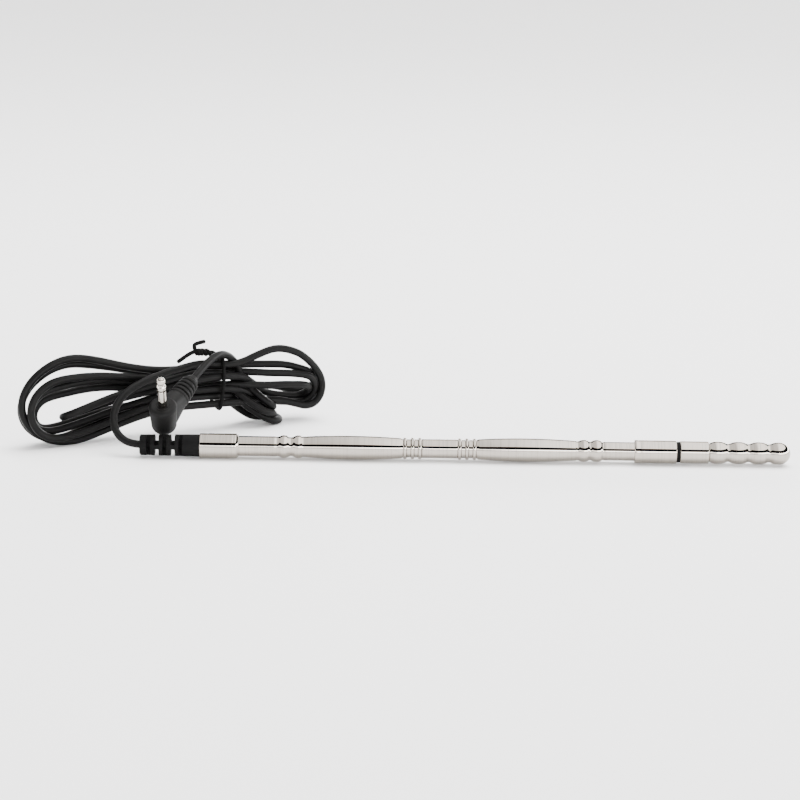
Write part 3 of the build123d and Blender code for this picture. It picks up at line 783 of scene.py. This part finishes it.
# %% [markdown]
# ## Shader maths as plain sums
# A material is a small sum: a colour, a roughness and a height that vary with place. One class wraps a
# socket so that such sums can be written as ordinary expressions, and one method makes any other node.

# %% Shader helpers
class Value:
    """A number in a shader. Adding to it, subtracting from it or multiplying it makes Math nodes."""

    def __init__(self, finish, socket):
        self.finish = finish
        self.socket = socket

    def math(self, operation, first, second=None):
        values = {0: first} if second is None else {0: first, 1: second}
        return self.finish.node("ShaderNodeMath", {"operation": operation}, values)

    def __add__(self, other):
        return self.math("ADD", self, other)

    __radd__ = __add__

    def __sub__(self, other):
        return self.math("SUBTRACT", self, other)

    def __rsub__(self, other):
        return self.math("SUBTRACT", other, self)

    def __mul__(self, other):
        return self.math("MULTIPLY", self, other)

    __rmul__ = __mul__

    def above(self, edge, softness):
        """0 below the edge, 1 above it, with a soft step between."""
        return self.finish.node("ShaderNodeMapRange", {"interpolation_type": "SMOOTHSTEP"}, {
            "Value": self, "From Min": edge - softness, "From Max": edge + softness})


class Finish:
    """A node tree for one material, or for the world, with a method that makes any node."""

    def __init__(self, tree):
        self.tree = tree
        tree.nodes.clear()

    def node(self, kind, settings=None, values=None, output=0):
        made = self.tree.nodes.new(kind)
        for name, setting in (settings or {}).items():
            if name == "stops":
                for number, (place, colour) in enumerate(setting):
                    stops = made.color_ramp.elements
                    stop = stops[number] if number < 2 else stops.new(place)
                    stop.position = place
                    stop.color = colour
            else:
                setattr(made, name, setting)
        for name, value in (values or {}).items():
            if isinstance(value, Value):
                self.tree.links.new(value.socket, made.inputs[name])
            else:
                made.inputs[name].default_value = value
        return Value(self, made.outputs[output]) if made.outputs else None

    def place(self):
        return self.node("ShaderNodeTexCoord", output=3)

    def scaled(self, vector, scale):
        return self.node("ShaderNodeMapping", None, {"Vector": vector, "Scale": scale})

    def noise(self, vector, scale, detail=3.0, roughness=0.5):
        return self.node("ShaderNodeTexNoise", None, {
            "Vector": vector, "Scale": scale, "Detail": detail, "Roughness": roughness})

    def mix(self, factor, first, second):
        return self.node("ShaderNodeMix", {"data_type": "RGBA"}, {0: factor, 6: first, 7: second}, output=2)

    def bump(self, height, distance, strength=1.0):
        return self.node("ShaderNodeBump", None, {
            "Height": height, "Distance": distance, "Strength": strength})


def material(name):
    made = bpy.data.materials.new(name)
    made.use_nodes = True
    return made, Finish(made.node_tree)


def surface(finish, values):
    """Close a material with one Principled surface."""
    shader = finish.node("ShaderNodeBsdfPrincipled", None, values)
    finish.node("ShaderNodeOutputMaterial", None, {"Surface": shader})


def grey(value, warm=0.0):
    """A grey, or with warmth a little redder and less blue."""
    return (value * (1 + warm), value, value * (1 - warm), 1.0)


print("shader helpers ready")

# %% [markdown]
# ## Polished nickel
# Nickel plate is a warm, slightly yellowish mirror. What gives it away as turned metal are hair-fine
# lines round the axis and faint smears where it was wiped. The lines are noise that is squeezed along
# the wand and even around it. They darken the colour a little and stir the gloss.

# %% Nickel
def nickel(name, stretch, colour, gloss):
    """Metal with fine turned lines: noise squeezed along the axis that stretch gives, thousands to one."""
    made, finish = material(name)
    place = finish.place()
    lines = finish.noise(finish.scaled(place, stretch), 1.0, detail=4.0, roughness=0.7)
    smears = finish.noise(place, 220.0, detail=4.0, roughness=0.6)
    specks = finish.noise(place, 2600.0, detail=2.0)
    cloud = smears.above(0.52, 0.16)
    dots = specks.above(0.70, 0.05)
    roughness = gloss + 0.02 * cloud + 0.02 * lines + 0.10 * dots
    streaks = lines.above(0.56, 0.12)
    clean = finish.mix(cloud * 0.5, colour, tuple(c * 0.93 for c in colour[:3]) + (1.0,))
    turned_base = finish.mix(streaks * 0.55, clean, tuple(c * 0.74 for c in colour[:3]) + (1.0,))
    base = finish.mix(dots * 0.35, turned_base, grey(0.34, 0.05))
    height = lines * 0.8 + smears * 0.6
    surface(finish, {
        "Base Color": base, "Metallic": 1.0, "Roughness": roughness,
        "Normal": finish.bump(height, 0.000012, 0.6)})
    return made


polished_nickel = nickel("polished_nickel_finish", (1900.0, 50.0, 50.0), (0.42, 0.385, 0.345, 1.0), 0.02)
plug_nickel = nickel("plug_nickel_finish", (900.0, 900.0, 900.0), (0.50, 0.465, 0.42, 1.0), 0.04)
print("nickel ready")

# %% [markdown]
# ## Soft black plastics
# The cord, the boot, the plug and the tie are all black, yet each looks different: the extruded cord is
# satin with a fine grain, the boot is matt rubber with a grain from its mould, the plug is
# smoother and a touch greyer, and the tie is plain matt. Dust and handling leave small paler spots.

# %% Black plastics
def black_plastic(name, shade, gloss, grain, grain_height, shine, dust=0.3):
    """Dark plastic: fine grain for relief, slow clouds for gloss, and rare specks of paler dust."""
    made, finish = material(name)
    place = finish.place()
    fine = finish.noise(place, grain, detail=3.0, roughness=0.6)
    slow = finish.noise(place, 160.0, detail=3.0)
    specks = finish.noise(place, 3200.0, detail=1.0)
    dusty = specks.above(0.74, 0.04) * dust
    cloud = slow.above(0.5, 0.2)
    worn = finish.mix(cloud, grey(shade), grey(shade * 1.7, 0.02))
    base = finish.mix(dusty, worn, grey(shade * 4 + 0.006, 0.03))
    surface(finish, {
        "Base Color": base, "Roughness": gloss + 0.12 * cloud + 0.08 * fine,
        "Specular IOR Level": shine, "Normal": finish.bump(fine, grain_height, 0.8)})
    return made


cord_jacket = black_plastic("cord_jacket_finish", 0.0025, 0.36, 3000.0, 0.00002, 0.09)
boot_rubber = black_plastic("boot_rubber_finish", 0.0022, 0.50, 5200.0, 0.00004, 0.07)
plug_plastic = black_plastic("plug_plastic_finish", 0.0035, 0.42, 4200.0, 0.00003, 0.10)
tie_plastic = black_plastic("tie_plastic_finish", 0.002, 0.55, 3600.0, 0.00002, 0.06)
black_insulator = black_plastic("black_insulator_finish", 0.002, 0.45, 5000.0, 0.00002, 0.06)
print("plastics ready")

# %% [markdown]
# ## What is inside
# The wiring, nut, stud and solder can't be seen, but someone may take the wand apart. They keep their
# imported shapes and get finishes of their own: turned brass, dull tin solder and coloured insulation.

# %% Inner finishes
def brass():
    made, finish = material("brass_hardware_finish")
    place = finish.place()
    lines = finish.noise(finish.scaled(place, (7000.0, 90.0, 90.0)), 1.0, detail=3.0)
    tarnish = finish.noise(place, 700.0, detail=4.0).above(0.5, 0.2)
    surface(finish, {
        "Base Color": finish.mix(tarnish, (0.76, 0.60, 0.32, 1), (0.52, 0.38, 0.18, 1)), "Metallic": 1.0,
        "Roughness": 0.22 + 0.2 * tarnish, "Normal": finish.bump(lines, 0.00001, 0.7)})
    return made


def tin_solder():
    made, finish = material("solder_finish")
    place = finish.place()
    ripple = finish.noise(place, 1400.0, detail=3.0)
    flux = finish.noise(place, 500.0, detail=4.0).above(0.62, 0.1)
    surface(finish, {
        "Base Color": finish.mix(flux, (0.66, 0.67, 0.69, 1), (0.30, 0.20, 0.08, 1)),
        "Metallic": 1.0 - 0.8 * flux,
        "Roughness": 0.28 + 0.2 * ripple, "Normal": finish.bump(ripple, 0.00005, 0.7)})
    return made


def insulation(name, colour):
    made, finish = material(name)
    place = finish.place()
    mottle = finish.noise(place, 900.0, detail=3.0)
    darker = tuple(c * 0.7 for c in colour[:3]) + (1.0,)
    surface(finish, {
        "Base Color": finish.mix(mottle.above(0.5, 0.25), colour, darker), "Roughness": 0.3 + 0.15 * mottle,
        "Normal": finish.bump(mottle, 0.00001, 0.6)})
    return made


brass_hardware = brass()
solder = tin_solder()
red_insulation = insulation("red_insulation_finish", (0.55, 0.03, 0.03, 1))
white_insulation = insulation("white_insulation_finish", (0.80, 0.80, 0.77, 1))
print("inner finishes ready")

# %% [markdown]
# ## Giving every piece its finish and its place in the frame
# Each new piece rides on the one body and gets the finish of its slot, and the imported pieces that it
# stands for are hidden. The imported pieces that stay only get a finish.

# %% Pieces and finishes
finishes = {
    "polished_nickel": polished_nickel, "plug_nickel": plug_nickel, "boot_rubber": boot_rubber,
    "plug_plastic": plug_plastic, "cord_jacket": cord_jacket, "tie_plastic": tie_plastic,
    "black_insulator": black_insulator, "brass_hardware": brass_hardware, "solder": solder,
    "red_insulation": red_insulation, "white_insulation": white_insulation,
}


def dress(piece, slot_name, *nodes):
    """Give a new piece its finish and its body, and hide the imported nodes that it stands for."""
    piece.data.materials.clear()
    piece.data.materials.append(finishes[slot_name])
    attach(piece, "root")
    if nodes:
        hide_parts(*nodes)


dress(signal_cord, "cord_jacket", "lead_cord", "cord_hank", "plug_tail_cord")
dress(rear_ferrule, "polished_nickel", "rear_ferrule")
dress(grip_body, "polished_nickel", "grip_body")
dress(front_ferrule, "polished_nickel", "front_ferrule")
dress(front_electrode, "polished_nickel", "front_electrode")
dress(insulator, "black_insulator", "insulating_bush")
dress(boot, "boot_rubber", "strain_relief_boot")
dress(plug_body, "plug_plastic", "plug_body")
dress(jack_sleeve, "plug_nickel", "plug_sleeve_contact")
dress(jack_ring, "black_insulator", "plug_insulator")
dress(jack_tip, "plug_nickel", "plug_tip_contact")
for piece in tie_pieces:
    dress(piece, "tie_plastic", "twist_tie")

kept = {part["node"]: part["material_slot"] for part in frame["record"]["subparts"]}
replaced = {
    "lead_cord", "cord_hank", "plug_tail_cord", "rear_ferrule", "grip_body", "front_ferrule",
    "front_electrode", "insulating_bush", "strain_relief_boot", "plug_body", "plug_sleeve_contact",
    "plug_insulator", "plug_tip_contact", "twist_tie",
}
for name, node in frame["nodes"].items():
    if name in kept and name not in replaced:
        node.data.materials.clear()
        node.data.materials.append(finishes[kept[name]])
print("dressed", len(replaced), "new pieces and", len(kept) - len(replaced), "packed ones")

# %% [markdown]

# %% [markdown]
# ## Table and light
# A plain pale table runs far back. The light is a white room with a dark band round it, like the gap
# between a light tent and the table, because polished metal only looks like metal when it has something
# dark to reflect. The room is a little brighter towards the tip. One large soft lamp overhead grounds
# the pieces with gentle shadows. It is kept out of reflections, so that it can't bleach the metal.

# %% Table
def table_finish():
    made, finish = material("table_finish")
    mottle = finish.noise(finish.place(), 12.0, detail=3.0)
    surface(finish, {
        "Base Color": finish.mix(mottle, (0.90, 0.90, 0.90, 1), (0.88, 0.88, 0.885, 1)), "Roughness": 0.6})
    return made


TABLE = 12.0
table_mesh = bpy.data.meshes.new("table")
corners = [(-TABLE, -TABLE, 0), (TABLE, -TABLE, 0), (TABLE, TABLE, 0), (-TABLE, TABLE, 0)]
table_mesh.from_pydata(corners, [], [(0, 1, 2, 3)])
table_mesh.materials.append(table_finish())
table = in_scene("table", table_mesh)

# %% Light
world = bpy.data.worlds.new("studio")
bpy.context.scene.world = world
world.use_nodes = True
studio = Finish(world.node_tree)
direction = studio.node("ShaderNodeTexCoord", output=0)
height = studio.node("ShaderNodeSeparateXYZ", None, {"Vector": direction}, output=2)
tent = studio.node("ShaderNodeValToRGB", {"stops": [
    (0.0, grey(0.5)), (1.0, grey(0.95)), (0.09, grey(0.6)), (0.12, grey(2.6)), (0.27, grey(2.6)),
    (0.285, grey(0.003)), (0.655, grey(0.003)), (0.68, grey(1.0, 0.02)), (0.8, grey(0.9, 0.02)),
]}, {"Fac": height})
sideways = studio.node("ShaderNodeSeparateXYZ", None, {"Vector": direction}, output=0)
background = studio.node("ShaderNodeBackground", None, {
    "Color": tent, "Strength": 2.2 + 3.0 * sideways.above(0.03, 0.16)})
studio.node("ShaderNodeOutputWorld", None, {"Surface": background})


def soft_lamp(name, place, size, power, towards):
    lamp = bpy.data.lights.new(name, "AREA")
    lamp.shape = "RECTANGLE"
    lamp.size, lamp.size_y = size
    lamp.energy = power
    made = bpy.data.objects.new(name, lamp)
    bpy.context.scene.collection.objects.link(made)
    made.location = place
    aim = Vector(towards) - Vector(place)
    made.rotation_mode = "QUATERNION"
    made.rotation_quaternion = aim.to_track_quat("-Z", "Y")
    return made


overhead = soft_lamp("overhead", (0.1, 0.25, 0.9), (0.9, 0.7), 22.0, (0.02, 0, 0))
overhead.visible_glossy = False
print("lights ready")
